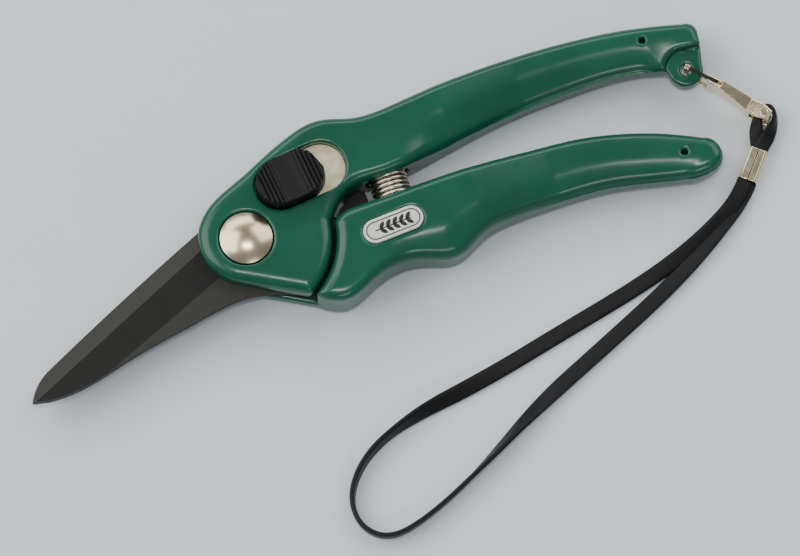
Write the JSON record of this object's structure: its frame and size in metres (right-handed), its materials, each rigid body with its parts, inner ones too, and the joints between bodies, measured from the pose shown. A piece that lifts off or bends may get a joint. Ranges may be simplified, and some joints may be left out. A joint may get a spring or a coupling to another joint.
{
  "type": "pruning snips",
  "caption": "Narrow-bladed garden snips with moulded grips, a thumb lock, a return spring and a wrist strap on a snap hook.",
  "frame": {"origin": "on the pivot axis, at the flush back face of the pivot nut and the rear head, which the snips lie on", "axes": "+X along the grips away from the blades, +Y towards the upper grip, +Z from the back face to the front face"},
  "size_m": [0.2008, 0.1058, 0.0192],
  "materials": {
    "green_plastic": "glossy moulded dark green nylon",
    "coated_blade": "dark non-stick coating on steel, ground bevels",
    "nickel": "warm nickel plate",
    "plain_steel": "turned steel",
    "lock_plate_metal": "warm satin plate",
    "plate_metal": "satin printed plate",
    "black_plastic": "satin black moulding",
    "spring_steel": "bright spring wire",
    "strap_leather": "black leatherette strap"
  },
  "bodies": {
    "upper_half": {"upper_handle": "green_plastic", "front_blade": "coated_blade", "pivot_bolt": "nickel", "pivot_bush": "plain_steel", "front_washer": "plain_steel", "nut_washer": "plain_steel", "pivot_nut": "nickel", "lock_plate": "lock_plate_metal", "return_spring": "spring_steel"},
    "lower_half": {"lower_handle": "green_plastic", "rear_blade": "coated_blade", "nameplate": "plate_metal"},
    "thumb_lock": {"lock_button": "black_plastic", "lock_pin": "plain_steel", "lock_retaining_ring": "plain_steel"},
    "clip": {"clip_body": "nickel", "gate_pin": "plain_steel", "eye_pin": "nickel"},
    "gate": {"clip_gate": "nickel"},
    "strap": {"strap_ferrule": "nickel", "strap_eye_loop": "strap_leather", "wrist_strap": "strap_leather"}
  },
  "joints": [
    {"name": "blade_pivot", "type": "hinge", "parent": "upper_half", "child": "lower_half", "pos_m": [0, 0, 0.0075], "axis": [0, 0, -1], "range_deg": [0, 22], "deforming": ["return_spring"]},
    {"name": "lock_slide", "type": "slide", "parent": "upper_half", "child": "thumb_lock", "axis": [0.9959, 0.09, 0], "range_m": [0, 0.0035]},
    {"name": "clip_swing", "type": "hinge", "parent": "upper_half", "child": "clip", "pos_m": [0.1194, 0.0049, 0.0075], "axis": [0, 0, 1], "range_deg": [0, 40]},
    {"name": "gate_hinge", "type": "hinge", "parent": "clip", "child": "gate", "pos_m": [0.12462, -0.0009, 0.0115], "axis": [-0.7431, -0.6691, 0], "range_deg": [0, 15], "stiffness_Nm_per_rad": 0.002},
    {"name": "strap_swing", "type": "hinge", "parent": "clip", "child": "strap", "pos_m": [0.13432, -0.01167, 0.0025], "axis": [0, 0, 1], "range_deg": [-8, 40]}
  ]
}
